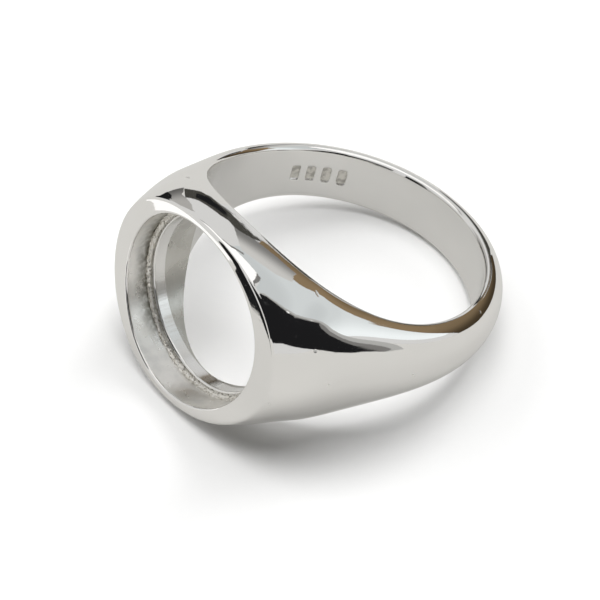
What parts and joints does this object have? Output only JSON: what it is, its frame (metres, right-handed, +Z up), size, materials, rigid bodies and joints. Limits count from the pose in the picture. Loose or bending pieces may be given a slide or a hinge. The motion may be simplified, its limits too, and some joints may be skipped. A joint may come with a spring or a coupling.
{
  "type": "signet ring",
  "caption": "Polished silver signet ring with a wide flared head and an open, nearly round stone pocket, empty and ready to be set.",
  "frame": {"origin": "centre of the footprint on the table, with the ring lying on its side as it rests", "axes": "+Z up from the table, -Y towards the head and its stone pocket, X across the head; the finger axis leans 13.1 degrees from +Z towards +Y"},
  "size_m": [0.021, 0.0236, 0.0131],
  "materials": {
    "polished_silver": "polished",
    "satin_silver": "satin",
    "silver_solder": "rough"
  },
  "bodies": {
    "root": {"ring_body": "polished_silver", "seat_ring": "satin_silver", "seat_solder": "silver_solder"}
  },
  "joints": []
}
